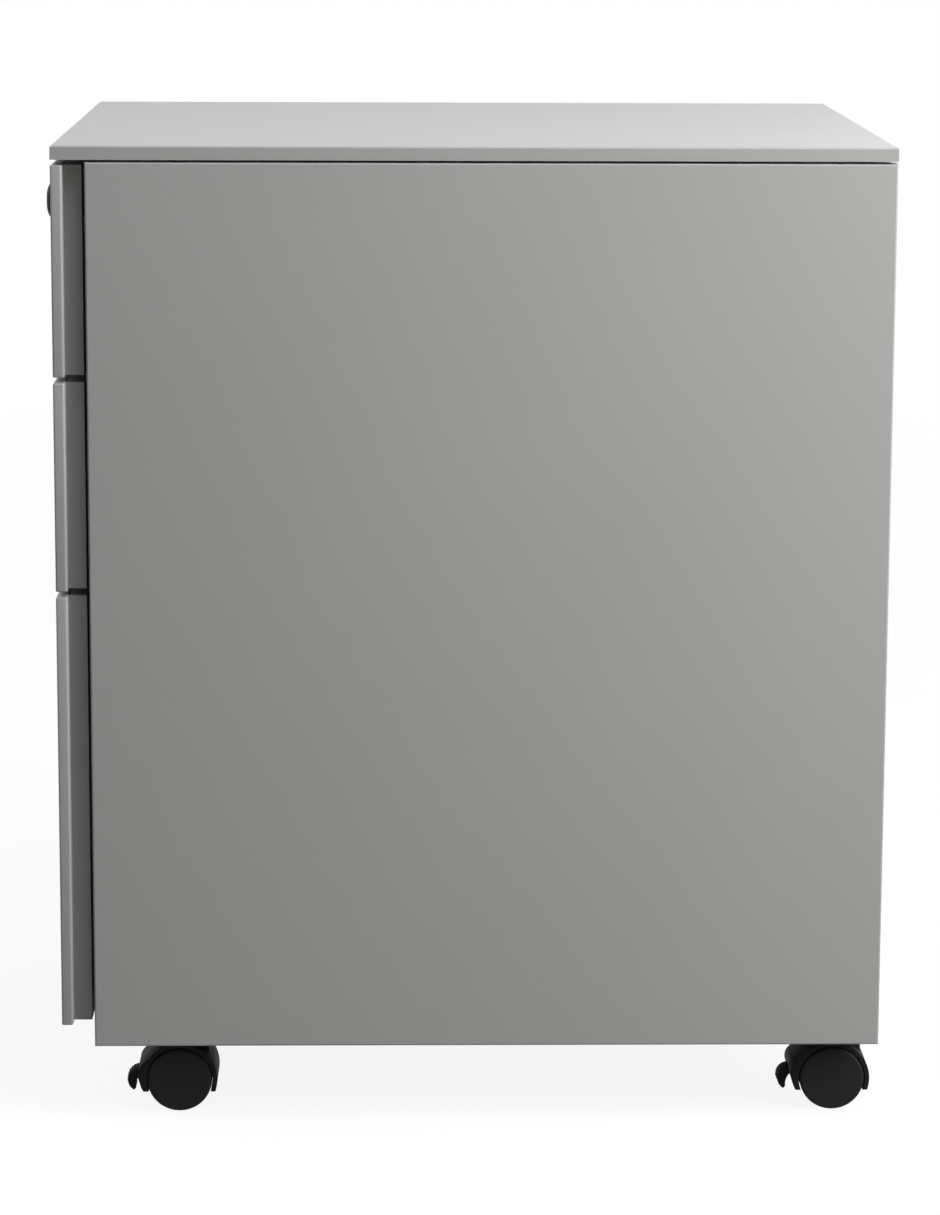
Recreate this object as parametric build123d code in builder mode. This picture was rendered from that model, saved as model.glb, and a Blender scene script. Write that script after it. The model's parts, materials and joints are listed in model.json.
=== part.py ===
from build123d import *
from math import cos, radians, sin
import os

# A mobile steel drawer pedestal: two small drawers and a file drawer with finger grips at the sides, one
# central lock and four braked twin-wheel castors. X runs across the cabinet, Y from the drawer fronts to
# the back and Z up from the floor. The origin is on the floor, at the middle of the outline. Millimetres.

# Cabinet
case_width = 390.0
case_depth = 500.0
case_height = 600.0
sheet = 0.8
bend = 1.2
flange = 12.0
top_thick = 8.3
top_gap = 1.4
top_lip = 65.0
back_rim = 10.0
post_width = 25.0
post_setback = 5.0
rail_height = 18.0

# Drawer fronts
front_plate = 7.0
front_edge = 1.2
grip_edge = 1.5
grip_depth = 10.0
lip_overlap = 4.0
liner_depth = 10.8
liner_inset = 0.5
front_gap = 2.2
front_reveal = 3.2
drawer_gap = 3.5
kick = 13.5
small_front = 126.0

# Drawer trays
tray_rise = 10.0
tray_hem = 6.0
tray_rear_space = 38.0
file_rail_height = 10.0
file_rail_foot = 5.0

# Three-member slides
slide_height = 45.0
slide_thick = 12.7
slide_gauge = 1.2
inner_gauge = 1.0
slide_lip = 3.5
slide_face_gap = 1.7
slide_foot = 4.0
slide_setback = 2.0
slide_rear_space = 25.0

# Lock, lock bar and drawer lugs
lock_inset = 23.0
lock_drop = 22.5
lock_proud = 3.5
barrel_radius = 10.0
bezel_slope = 2.6
barrel_tail = 3.0
plug_radius = 5.5
plug_recess = 0.4
key_slot_width = 1.4
key_slot_height = 7.0
key_slot_depth = 9.0
crank = 5.0
crank_arm_width = 6.0
crank_pin_radius = 1.5
crank_rest = -45.0
pin_play = 0.5
bar_setback = 5.5
bar_thick = 2.0
bar_tail = 8.0
head_margin = 4.0
finger_height = 4.0
finger_reach = 6.0
lug_height = 8.0
lug_thick = 3.0
guide_height = 12.0
guide_wall = 1.2

# Castors
wheel_radius = 20.0
wheel_width = 14.0
castor_head = 10.0
castor_inset = 43.0
castor_front = 70.0
castor_rear = 25.0
trail = 9.0
web_half = 3.7
web_front = 8.0
web_back = 14.0
web_low = 6.0
hood_wall = 2.7
hood_drop = 7.5
hood_inset = 0.6
boss_half = 9.1
shoulder_radius = 8.4
shoulder_back = 2.3
shoulder_up = 3.6
toe_radius = 2.4
toe_out = 1.6
toe_down = 4.2
axle_radius = 3.0
stem_radius = 4.0
stem_depth = 8.0
pedal_half = 6.0
pedal_out = 3.4
pedal_up = 0.8
pedal_hub_radius = 2.6
pedal_pin_radius = 1.3
crown_rise = 2.4
nose_out = 12.8
nose_down = 3.6
tip_out = 9.0
tip_down = 10.3
hook_out = 7.7
hook_down = 8.9
throat_out = 7.1
throat_down = 3.8

# Pads under the top
pad_length = 40.0
pad_inset = 3.0
pad_spread = 240.0

# Clearances
run_gap = 0.3
turn_gap = 0.05
hole_gap = 0.2
flange_gap = 1.0
lock_gap = 0.5
bar_gap = 0.6
wheel_gap = 0.5
hood_gap = 0.6
neck_gap = 0.5

# Outline of the body
half_width = case_width / 2
front_face = (lock_proud - case_depth) / 2
back_face = front_face + case_depth
liner_face = front_face + front_plate
tray_front = liner_face + liner_depth
body_front = tray_front + front_gap
body_low = 2 * wheel_radius + castor_head
body_top = case_height - top_thick - top_gap
body_depth = back_face - body_front
body_height = body_top - body_low
body_middle = (body_front + back_face) / 2
body_centre = (body_low + body_top) / 2
base_floor = body_low + 2 * sheet
base_rim = kick - sheet - liner_inset

# Rows of drawers: the lower edge and height of each front
front_top = case_height - top_thick - front_reveal
front_low = body_low + kick
middle_low = front_top - 2 * small_front - drawer_gap
drawers = {
    "upper": (front_top - small_front, small_front),
    "middle": (middle_low, small_front),
    "lower": (front_low, middle_low - drawer_gap - front_low),
}

# Lock line and slide line
lock_x = half_width - lock_inset
lock_z = front_top - lock_drop
slide_plane = half_width - flange - flange_gap
tray_half = slide_plane - slide_thick
tray_drop = lock_drop + barrel_radius + lock_gap
bar_front = body_front + bar_setback
bar_back = bar_front + bar_thick
lug_front = bar_back + bar_gap
slide_front = lug_front + lug_thick + slide_setback
slide_back = back_face - slide_rear_space
slide_length = slide_back - slide_front
tray_back = back_face - tray_rear_space
slide_rise = tray_rise + slide_foot + slide_height / 2
slide_levels = {name: low + slide_rise for name, (low, height) in drawers.items()}
post_front = slide_front + post_setback
post_rows = (post_front, slide_back - post_setback - post_width)

os.makedirs("parts", exist_ok=True)


def folded_tray(builder, plane, width, height, depth, fold=0.0):
    """Adds a sheet tray: a flat face on the plane with four sides folded along the plane's normal."""
    along = Axis(plane.origin, plane.z_dir)
    with BuildSketch(plane) as blank:
        Rectangle(width, height)
    extrude(blank.sketch, amount=depth)
    if fold:
        fillet(builder.faces().sort_by(along)[0].edges(), radius=fold)
    offset(amount=-sheet, openings=builder.faces().sort_by(along)[-1])


def hollow_cap(plane, width, height, lip_x, lip_y, depth):
    """Hollows the block being built to a sheet skin and opens it on the plane, inside a turned-in lip."""
    offset(amount=-sheet, mode=Mode.SUBTRACT)
    with BuildSketch(plane) as window:
        Rectangle(width - 2 * lip_x, height - 2 * lip_y)
    extrude(window.sketch, amount=-depth / 2, mode=Mode.SUBTRACT)


def strip_section(points, gauge, inside):
    """Draws the section of a folded or rolled strip, with its gauge laid on one side of the points."""
    with BuildLine() as strip:
        Polyline(*points)
        offset(amount=gauge, side=inside, kind=Kind.INTERSECTION)
    make_face(strip.edges())


# Side panels: one folded pan each, with a return on all four edges
for side, sign in (("left", -1), ("right", 1)):
    skin = Plane(origin=(sign * half_width, body_middle, body_centre), x_dir=(0, 1, 0), z_dir=(-sign, 0, 0))
    with BuildPart() as side_panel:
        folded_tray(side_panel, skin, body_depth, body_height, flange, fold=bend)
    side_panel.part.label = f"side_panel_{side}"
    export_step(side_panel.part, f"parts/side_panel_{side}.step")

# Castor stems stand in the base, behind each axle
castor_x = half_width - castor_inset
axle_rows = {"front": front_face + castor_front, "rear": back_face - castor_rear}
stem_places = [(sign * castor_x, row + trail) for row in axle_rows.values() for sign in (-1, 1)]

# Base pan, laid on the lower returns of the side panels
base_depth = body_depth - 2 * sheet
with BuildPart() as base_pan:
    base_plane = Plane(origin=(0, body_middle, body_low + sheet))
    folded_tray(base_pan, base_plane, case_width - 2 * (sheet + bend), base_depth, base_rim)
base_pan.part.label = "base_pan"
export_step(base_pan.part, "parts/base_pan.step")

# Back panel, lapped inside the rear returns of the side panels and above the base pan's rim
back_low = body_low + sheet + base_rim + run_gap
back_high = body_top - sheet - run_gap
with BuildPart() as back_panel:
    back_plane = Plane(
        origin=(0, back_face - sheet, (back_low + back_high) / 2), x_dir=(1, 0, 0), z_dir=(0, -1, 0)
    )
    folded_tray(back_panel, back_plane, case_width - 2 * (sheet + bend), back_high - back_low, back_rim)
back_panel.part.label = "back_panel"
export_step(back_panel.part, "parts/back_panel.step")

# Upright posts: channels that carry the slides, standing on the base pan under the top returns
post_back = half_width - 2 * (sheet + bend)
with BuildPart() as posts:
    for row in post_rows:
        corners = [
            (post_back, row),
            (slide_plane, row),
            (slide_plane, row + post_width),
            (post_back, row + post_width),
        ]
        with BuildSketch(Plane.XY.offset(base_floor)):
            strip_section(corners, slide_gauge, Side.RIGHT)
        extrude(amount=body_top - sheet - base_floor)
    mirror(about=Plane.YZ)
posts.part.label = "posts"
export_step(posts.part, "parts/posts.step")

# Top rails: upturned channels between the posts
for row, rail_name in zip(post_rows, ("top_front_rail", "top_rear_rail")):
    with BuildPart() as top_rail:
        corners = [
            (row, body_top - rail_height),
            (row, body_top),
            (row + post_width, body_top),
            (row + post_width, body_top - rail_height),
        ]
        with BuildSketch(Plane.YZ):
            strip_section(corners, slide_gauge, Side.RIGHT)
        extrude(amount=slide_plane, both=True)
    top_rail.part.label = rail_name
    export_step(top_rail.part, f"parts/{rail_name}.step")

# Top panel: a folded cap with a wide lip underneath, which rests on the pads
top_low = body_top + top_gap
top_middle = (front_face + back_face) / 2
with BuildPart() as top_panel:
    cap_plane = Plane(origin=(0, top_middle, case_height), x_dir=(1, 0, 0), z_dir=(0, 0, -1))
    lip_plane = Plane(origin=(0, top_middle, top_low), x_dir=(1, 0, 0), z_dir=(0, 0, -1))
    with BuildSketch(cap_plane):
        Rectangle(case_width, case_depth)
    extrude(amount=top_thick)
    fillet(top_panel.faces().sort_by(Axis.Z)[-1].edges(), radius=bend)
    hollow_cap(lip_plane, case_width, case_depth, top_lip, top_lip, top_thick)
top_panel.part.label = "top_panel"
export_step(top_panel.part, "parts/top_panel.step")

# Pads that hold the shadow gap open, on the rails
with BuildPart() as top_pads:
    with BuildSketch(Plane.XY.offset(body_top)):
        for row in post_rows:
            with Locations((0, row + post_width / 2)):
                with GridLocations(pad_spread, 0, 2, 1):
                    Rectangle(pad_length, post_width - 2 * pad_inset)
    extrude(amount=top_gap)
top_pads.part.label = "top_pads"
export_step(top_pads.part, "parts/top_pads.step")

# Lock bar: one flat blank with a finger for each drawer and a slotted head for the lock's crank pin
bar_inner = slide_plane + guide_wall + run_gap
bar_outer = half_width - sheet - guide_wall - run_gap
finger_inner = slide_plane - finger_reach
finger_rise = slide_height / 2 + bar_gap
finger_lows = [level + finger_rise for level in slide_levels.values()]
pin_x = lock_x + crank * cos(radians(crank_rest))
pin_z = lock_z + crank * sin(radians(crank_rest))
slot_half = crank_pin_radius + pin_play
head_inner = pin_x - slot_half - head_margin
head_high = pin_z + slot_half + head_margin
head_low = pin_z - slot_half - head_margin
bar_low = min(finger_lows) - bar_tail
with BuildPart() as lock_bar:
    with BuildSketch(Plane.XZ.offset(-bar_front)):
        with Locations((bar_inner, bar_low)):
            Rectangle(bar_outer - bar_inner, head_high - bar_low, align=(Align.MIN, Align.MIN))
        with Locations(*[(finger_inner, low) for low in finger_lows]):
            Rectangle(bar_outer - finger_inner, finger_height, align=(Align.MIN, Align.MIN))
        with Locations((head_inner, head_low)):
            Rectangle(bar_outer - head_inner, head_high - head_low, align=(Align.MIN, Align.MIN))
        with Locations((pin_x - slot_half, pin_z - slot_half)):
            slot_length = lock_x + crank - pin_x + 2 * slot_half
            Rectangle(slot_length, 2 * slot_half, align=(Align.MIN, Align.MIN), mode=Mode.SUBTRACT)
    extrude(amount=-bar_thick)
lock_bar.part.label = "lock_bar"
export_step(lock_bar.part, "parts/lock_bar.step")

# Guides that keep the bar upright, moulded blocks between the front post and the side panel
levels = sorted(slide_levels.values())
guide_levels = [(low + high) / 2 for low, high in zip(levels, levels[1:])]
guide_outer = half_width - sheet
guide_front = bar_front - run_gap - guide_wall
with BuildPart() as lock_guides:
    for level in guide_levels:
        with BuildSketch(Plane.XY.offset(level - guide_height / 2)):
            with Locations((slide_plane, guide_front)):
                Rectangle(
                    guide_outer - slide_plane, post_front - guide_front, align=(Align.MIN, Align.MIN)
                )
            with Locations((bar_inner - run_gap, bar_front - run_gap)):
                Rectangle(
                    bar_outer - bar_inner + 2 * run_gap,
                    bar_thick + 2 * run_gap,
                    align=(Align.MIN, Align.MIN),
                    mode=Mode.SUBTRACT,
                )
        extrude(amount=guide_height)
lock_guides.part.label = "lock_guides"
export_step(lock_guides.part, "parts/lock_guides.step")

# Lock: barrel through the upper front, turning plug and a crank that lifts the bar
lock_face = Plane(origin=(lock_x, front_face, lock_z), x_dir=(1, 0, 0), z_dir=(0, -1, 0))
barrel_length = lock_proud + front_plate + liner_depth + barrel_tail
with BuildPart() as lock_housing:
    with BuildSketch(lock_face.offset(lock_proud)):
        Circle(barrel_radius)
        Circle(plug_radius + turn_gap, mode=Mode.SUBTRACT)
    extrude(amount=-barrel_length)
    chamfer(lock_housing.edges().group_by(Axis.Y)[0].sort_by(SortBy.RADIUS)[-1], bezel_slope)
lock_housing.part.label = "lock_housing"
export_step(lock_housing.part, "parts/lock_housing.step")

plug_back = tray_front + barrel_tail + run_gap
plug_face = lock_face.offset(lock_proud - plug_recess)
with BuildPart() as lock_plug:
    with BuildSketch(plug_face):
        Circle(plug_radius)
    extrude(amount=front_face - lock_proud + plug_recess - plug_back)
    with BuildSketch(plug_face):
        Rectangle(key_slot_width, key_slot_height)
    extrude(amount=-key_slot_depth, mode=Mode.SUBTRACT)
lock_plug.part.label = "lock_plug"
export_step(lock_plug.part, "parts/lock_plug.step")

# The crank is a flat arm from the plug's axis to the pin, which reaches through the bar's slot
crank_face = lock_face.offset(front_face - plug_back)
crank_thick = bar_front - bar_gap - plug_back
pin_length = crank_thick + bar_thick + 2 * bar_gap
with BuildPart() as lock_crank:
    with BuildSketch(crank_face):
        with Locations(((pin_x - lock_x) / 2, (pin_z - lock_z) / 2)):
            Rectangle(crank + crank_arm_width, crank_arm_width, rotation=crank_rest)
    extrude(amount=-crank_thick)
    with BuildSketch(crank_face):
        with Locations((pin_x - lock_x, pin_z - lock_z)):
            Circle(crank_pin_radius)
    extrude(amount=-pin_length)
lock_crank.part.label = "lock_crank"
export_step(lock_crank.part, "parts/lock_crank.step")


def drawer_front(name, low, height):
    """Makes the outer plate of a drawer front, a pan with returns whose sides are the finger grips."""
    face = Plane(origin=(0, front_face, low + height / 2), x_dir=(1, 0, 0), z_dir=(0, 1, 0))
    with BuildPart() as front:
        with BuildSketch(face):
            Rectangle(case_width, height)
        extrude(amount=front_plate)
        fillet(front.edges().filter_by(Axis.Z).group_by(Axis.Y)[0], radius=front_edge)
        fillet(front.edges().filter_by(Axis.Z).group_by(Axis.Y)[-1], radius=grip_edge)
        lip_side = grip_depth + lip_overlap
        hollow_cap(face.offset(front_plate), case_width, height, lip_side, lip_overlap, front_plate)
        if name == "upper":
            with Locations(lock_face):
                Hole(radius=barrel_radius + hole_gap, depth=front_plate)
    front.part.label = f"front_{name}"
    export_step(front.part, f"parts/front_{name}.step")


def drawer_liner(name, low, height):
    """Makes the narrower inner pan of a drawer front, which the tray is fixed to."""
    back = Plane(origin=(0, tray_front, low + height / 2), x_dir=(1, 0, 0), z_dir=(0, -1, 0))
    with BuildPart() as liner:
        folded_tray(liner, back, case_width - 2 * grip_depth, height - 2 * liner_inset, liner_depth)
        if name == "upper":
            with Locations(lock_face):
                Hole(radius=barrel_radius + hole_gap)
    liner.part.label = f"liner_{name}"
    export_step(liner.part, f"parts/liner_{name}.step")


def drawer_tray(name, low, height):
    """Makes a drawer's open tray, with its rim folded inwards."""
    tray_height = height - tray_rise - tray_drop
    tray_length = tray_back - tray_front
    middle = (tray_back + tray_front) / 2
    with BuildPart() as tray:
        folded_tray(
            tray, Plane(origin=(0, middle, low + tray_rise)), 2 * tray_half, tray_length, tray_height
        )
        with BuildSketch(Plane(origin=(0, middle, low + tray_rise + tray_height))):
            Rectangle(2 * tray_half, tray_length)
            Rectangle(2 * (tray_half - tray_hem), tray_length - 2 * tray_hem, mode=Mode.SUBTRACT)
        extrude(amount=-sheet)
    tray.part.label = f"tray_{name}"
    export_step(tray.part, f"parts/tray_{name}.step")


def drawer_slides(name, level):
    """Makes the pair of three-member slides of one drawer: fixed, middle and drawer members."""
    half = slide_height / 2
    slide_section = Plane.XZ.offset(-slide_front)

    # Fixed member, an open channel against the posts
    reach = slide_plane - slide_thick + slide_face_gap
    with BuildPart() as outer:
        corners = [
            (reach, level - half + slide_lip),
            (reach, level - half),
            (slide_plane, level - half),
            (slide_plane, level + half),
            (reach, level + half),
            (reach, level + half - slide_lip),
        ]
        with BuildSketch(slide_section):
            strip_section(corners, slide_gauge, Side.LEFT)
        extrude(amount=-slide_length)
        mirror(about=Plane.YZ)
    outer.part.label = f"slide_outer_{name}"
    export_step(outer.part, f"parts/slide_outer_{name}.step")

    # Middle member, the same channel one clearance inside
    step = slide_gauge + run_gap
    mid_half = half - step
    mid_plane = slide_plane - step
    mid_reach = reach + step
    mid_opening = mid_half - slide_lip
    with BuildPart() as middle:
        corners = [
            (mid_reach, level - mid_opening),
            (mid_reach, level - mid_half),
            (mid_plane, level - mid_half),
            (mid_plane, level + mid_half),
            (mid_reach, level + mid_half),
            (mid_reach, level + mid_opening),
        ]
        with BuildSketch(slide_section):
            strip_section(corners, inner_gauge, Side.LEFT)
        extrude(amount=-slide_length)
        mirror(about=Plane.YZ)
    middle.part.label = f"slide_middle_{name}"
    export_step(middle.part, f"parts/slide_middle_{name}.step")

    # Drawer member, a hat section whose lips run behind those of the middle member
    neck = mid_opening - run_gap
    lip_face = mid_reach + inner_gauge + run_gap
    lip_end = mid_half - inner_gauge - run_gap
    with BuildPart() as inner:
        corners = [
            (lip_face, level - lip_end),
            (lip_face, level - neck),
            (tray_half, level - neck),
            (tray_half, level + neck),
            (lip_face, level + neck),
            (lip_face, level + lip_end),
        ]
        with BuildSketch(slide_section):
            strip_section(corners, inner_gauge, Side.RIGHT)
        extrude(amount=-slide_length)
        mirror(about=Plane.YZ)
    inner.part.label = f"slide_inner_{name}"
    export_step(inner.part, f"parts/slide_inner_{name}.step")


def drawer_lug(name, level):
    """Makes the lug on a tray's right side, which the lock bar's finger stops."""
    lug_low = level + finger_rise + finger_height + bar_gap
    lug_reach = slide_plane - flange_gap - tray_half
    with BuildPart() as lug:
        with BuildSketch(Plane.XZ.offset(-lug_front)):
            with Locations((tray_half, lug_low)):
                Rectangle(lug_reach, lug_height, align=(Align.MIN, Align.MIN))
        extrude(amount=-lug_thick)
    lug.part.label = f"lock_lug_{name}"
    export_step(lug.part, f"parts/lock_lug_{name}.step")


for drawer, (low_edge, front_height) in drawers.items():
    drawer_front(drawer, low_edge, front_height)
    drawer_liner(drawer, low_edge, front_height)
    drawer_tray(drawer, low_edge, front_height)
    drawer_slides(drawer, slide_levels[drawer])
    drawer_lug(drawer, slide_levels[drawer])

# File rails: angles along the rim of the lower tray, for hanging files
file_low, file_height = drawers["lower"]
rim_top = file_low + file_height - tray_drop
with BuildPart() as file_rails:
    corners = [
        (tray_half - file_rail_foot, rim_top),
        (tray_half, rim_top),
        (tray_half, rim_top + file_rail_height),
    ]
    with BuildSketch(Plane.XZ.offset(-tray_front - tray_hem)):
        strip_section(corners, slide_gauge, Side.LEFT)
    extrude(amount=-(tray_back - tray_front - 2 * tray_hem))
    mirror(about=Plane.YZ)
file_rails.part.label = "file_rails"
export_step(file_rails.part, "parts/file_rails.step")

# Castor stems: pins fixed under the base pan
neck_top = body_low - neck_gap
stem_top = body_low + sheet
with BuildPart() as castor_stems:
    with BuildSketch(Plane.XY.offset(stem_top)):
        with Locations(*stem_places):
            Circle(stem_radius)
    extrude(amount=neck_top - stem_depth - stem_top)
castor_stems.part.label = "castor_stems"
export_step(castor_stems.part, "parts/castor_stems.step")

# Castor outline, seen from the side with the axle at the origin and the front to the left
hood_inner = wheel_radius + hood_gap
hood_outer = hood_inner + hood_wall
wheel_face = web_half + wheel_gap
hood_half = wheel_face + wheel_width - hood_inset
boss_top = neck_top - wheel_radius
shoulder = (shoulder_back - wheel_radius, shoulder_up)
toe = (-wheel_radius - toe_out, -toe_down)
pivot = (-wheel_radius - pedal_out, pedal_up)
pedal_slot_half = pedal_half + run_gap
slot_space = pedal_hub_radius + run_gap
slot_corner = (pivot[0] + slot_space, pivot[1] + slot_space)


def castor_housing(name, side):
    """Makes the moulded body: a hood over both wheels, a web between them and a boss for the stem."""
    with BuildPart() as housing:
        # Hood, shoulder and toe in one outline over the full width
        with BuildSketch(side):
            with BuildLine():
                CenterArc((0, 0), hood_outer, 0, 360)
                CenterArc(shoulder, shoulder_radius, 0, 360)
                CenterArc(toe, toe_radius, 0, 360)
            make_hull()
            with Locations((0, -hood_drop)):
                below = (Align.CENTER, Align.MAX)
                Rectangle(4 * hood_outer, 2 * hood_outer, align=below, mode=Mode.SUBTRACT)
        extrude(amount=hood_half, both=True)
        # Boss for the stem
        with BuildSketch(side):
            with Locations((trail - boss_half, 0)):
                Rectangle(2 * boss_half, boss_top, align=(Align.MIN, Align.MIN))
        extrude(amount=boss_half, both=True)
        # Round space for the wheels, then the web that carries the axle
        with BuildSketch(side):
            Circle(hood_inner)
        extrude(amount=hood_half, both=True, mode=Mode.SUBTRACT)
        with BuildSketch(side):
            with Locations((-web_front, -web_low)):
                web_height = web_low + hood_inner
                Rectangle(web_front + web_back, web_height, align=(Align.MIN, Align.MIN))
            Circle(axle_radius + turn_gap, mode=Mode.SUBTRACT)
        extrude(amount=web_half, both=True)
        with Locations(side.location * Location((trail, boss_top, 0), (-90, 0, 0))):
            Hole(radius=stem_radius + turn_gap, depth=stem_depth + run_gap)
        # Slot for the pedal, with the pin that it turns on
        with BuildSketch(side):
            with Locations(slot_corner):
                Rectangle(2 * hood_outer, 2 * hood_outer, align=(Align.MAX, Align.MAX))
        extrude(amount=pedal_slot_half, both=True, mode=Mode.SUBTRACT)
        with BuildSketch(side):
            with Locations(pivot):
                Circle(pedal_pin_radius)
        extrude(amount=pedal_slot_half, both=True)
    housing.part.label = f"castor_housing_{name}"
    export_step(housing.part, f"parts/castor_housing_{name}.step")


def castor_wheels(name, side):
    """Makes the pair of wheels on their axle."""
    with BuildPart() as wheels:
        with BuildSketch(side.offset(wheel_face)):
            Circle(wheel_radius)
        extrude(amount=wheel_width)
        mirror(about=side)
        with BuildSketch(side):
            Circle(axle_radius)
        extrude(amount=wheel_face, both=True)
    wheels.part.label = f"castor_wheels_{name}"
    export_step(wheels.part, f"parts/castor_wheels_{name}.step")


def brake_pedal(name, side):
    """Makes the brake pedal: a hooked toe lever that turns on the housing's pin."""
    crown = (pivot[0], pivot[1] + crown_rise)
    nose = (-wheel_radius - nose_out, -nose_down)
    tip = (-wheel_radius - tip_out, -tip_down)
    hook = (-wheel_radius - hook_out, -hook_down)
    throat = (-wheel_radius - throat_out, -throat_down)
    with BuildPart() as pedal:
        with BuildSketch(side):
            with BuildLine():
                ThreePointArc(crown, nose, tip)
                Line(tip, hook)
                ThreePointArc(hook, throat, pivot)
                Line(pivot, crown)
            make_face()
            with Locations(pivot):
                Circle(pedal_hub_radius)
                Circle(pedal_pin_radius + turn_gap, mode=Mode.SUBTRACT)
        extrude(amount=pedal_half, both=True)
    pedal.part.label = f"brake_pedal_{name}"
    export_step(pedal.part, f"parts/brake_pedal_{name}.step")


for row_name, row_y in axle_rows.items():
    for side_name, side_sign in (("left", -1), ("right", 1)):
        castor = f"{row_name}_{side_name}"
        axle_centre = (side_sign * castor_x, row_y, wheel_radius)
        castor_side = Plane(origin=axle_centre, x_dir=(0, 1, 0), z_dir=(1, 0, 0))
        castor_housing(castor, castor_side)
        castor_wheels(castor, castor_side)
        brake_pedal(castor, castor_side)
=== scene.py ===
"""Dresses a three-drawer steel pedestal: painted sheet, plated slides, a central lock and black castors."""

import json
import logging
import math
from dataclasses import dataclass
from enum import Enum
from typing import Any, Callable, Mapping, Sequence

import bmesh
import bpy
from mathutils import Matrix, Vector
from mathutils.geometry import convex_hull_2d


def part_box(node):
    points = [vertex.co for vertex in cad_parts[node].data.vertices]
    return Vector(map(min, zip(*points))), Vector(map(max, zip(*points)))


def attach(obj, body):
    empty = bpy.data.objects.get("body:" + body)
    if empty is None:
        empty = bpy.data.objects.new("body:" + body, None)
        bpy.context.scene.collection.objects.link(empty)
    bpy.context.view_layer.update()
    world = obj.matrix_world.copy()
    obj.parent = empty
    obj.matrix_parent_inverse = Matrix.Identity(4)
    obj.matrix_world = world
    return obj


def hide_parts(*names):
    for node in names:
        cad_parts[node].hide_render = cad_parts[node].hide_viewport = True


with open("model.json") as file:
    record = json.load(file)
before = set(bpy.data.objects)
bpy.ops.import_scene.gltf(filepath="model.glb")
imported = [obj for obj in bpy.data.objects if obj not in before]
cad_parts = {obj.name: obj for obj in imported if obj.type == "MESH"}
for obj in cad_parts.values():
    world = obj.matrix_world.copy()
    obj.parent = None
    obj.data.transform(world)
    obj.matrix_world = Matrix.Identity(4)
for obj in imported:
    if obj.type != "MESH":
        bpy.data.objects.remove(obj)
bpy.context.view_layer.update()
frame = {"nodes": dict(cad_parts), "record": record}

log = logging.getLogger("pedestal")
mm = 0.001
WHITE = (1.0, 1.0, 1.0, 1.0)
# The attributes that a mesh hands to its finish or to a tree
TREAD = "tread"
FACING = "facing"

Mesh = bpy.types.Mesh
Node = bpy.types.Node
Piece = bpy.types.Object
Socket = bpy.types.NodeSocket
Triple = tuple[float, float, float]
Places = list[tuple[Vector, Vector]]


class Slot(Enum):
    """The material slots that the record names."""

    CASE = "case_paint"
    DRAWER = "drawer_paint"
    ZINC = "zinc_steel"
    LOCK = "lock_black"
    NICKEL = "lock_nickel"
    PLASTIC = "black_plastic"
    CASTOR = "castor_black"
    WHEEL = "wheel_black"


class Row(Enum):
    """The three drawers, from the top down."""

    UPPER = "upper"
    MIDDLE = "middle"
    LOWER = "lower"


class Corner(Enum):
    """The four castors."""

    FRONT_LEFT = "front_left"
    FRONT_RIGHT = "front_right"
    REAR_LEFT = "rear_left"
    REAR_RIGHT = "rear_right"


class Axis(Enum):
    """The way that a turned piece's centre line runs, with the two directions of its circle."""

    ACROSS = ((1.0, 0.0, 0.0), (0.0, 1.0, 0.0), (0.0, 0.0, 1.0))
    FORWARD = ((0.0, -1.0, 0.0), (1.0, 0.0, 0.0), (0.0, 0.0, 1.0))


# Node trees


def operator(operation: str, reflected: bool = False) -> Callable[["Value", Any], "Value"]:
    """Makes an operator of Value.

    Args:
        operation: the Math node's operation.
        reflected: whether the other term comes first, as in 1 - mask.

    Returns:
        The method.
    """
    def combine(value: "Value", other: Any) -> "Value":
        """Adds the Math node."""
        return value.math(operation, *((other, value) if reflected else (value, other)))

    return combine


class Value:
    """A number in a node tree, on which arithmetic adds Math nodes."""

    def __init__(self, book: "NodeBook", socket: Socket) -> None:
        """Wraps a socket of the book's tree."""
        self.book = book
        self.socket = socket

    def math(self, operation: str, *terms: Any) -> "Value":
        """The result of one Math node, which works on the terms in order."""
        node = self.book.node("ShaderNodeMath", {"operation": operation}, dict(enumerate(terms)))
        return Value(self.book, node.outputs[0])

    __add__ = operator("ADD")
    __radd__ = operator("ADD", reflected=True)
    __sub__ = operator("SUBTRACT")
    __rsub__ = operator("SUBTRACT", reflected=True)
    __mul__ = operator("MULTIPLY")
    __rmul__ = operator("MULTIPLY", reflected=True)
    __truediv__ = operator("DIVIDE")
    __rtruediv__ = operator("DIVIDE", reflected=True)
    __gt__ = operator("GREATER_THAN")

    def root(self) -> "Value":
        """Square root."""
        return self.math("SQRT", self)

    def clamped(self) -> "Value":
        """The value held between 0 and 1."""
        return self.math("MINIMUM", self.math("MAXIMUM", self, 0.0), 1.0)


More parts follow.
